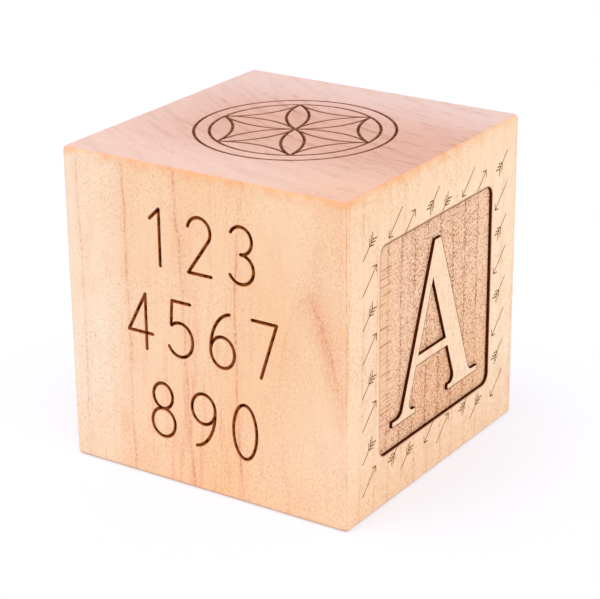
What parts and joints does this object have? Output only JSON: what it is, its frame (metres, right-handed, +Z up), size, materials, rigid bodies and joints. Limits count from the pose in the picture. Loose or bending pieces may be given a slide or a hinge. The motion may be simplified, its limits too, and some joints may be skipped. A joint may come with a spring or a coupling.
{
  "type": "alphabet block",
  "caption": "Solid wooden toy block with sanded edges and a raised letter standing in a shallow sunk panel with charred walls on one side face.",
  "frame": {"origin": "centre of the bottom face, on the surface that the block stands on", "axes": "+Z up along the grain, +X out of the face with the raised letter, -Y out of the face with the numerals"},
  "size_m": [0.0636, 0.0636, 0.0642],
  "materials": {
    "maple": "sanded and lightly oiled pale maple, grain upright",
    "toasted_maple": "matte laser-toasted maple",
    "charred_maple": "matte charred maple"
  },
  "bodies": {
    "root": {"block": "maple", "panel_floor": "toasted_maple", "panel_rim": "charred_maple", "letter_edge": "charred_maple"}
  },
  "joints": []
}
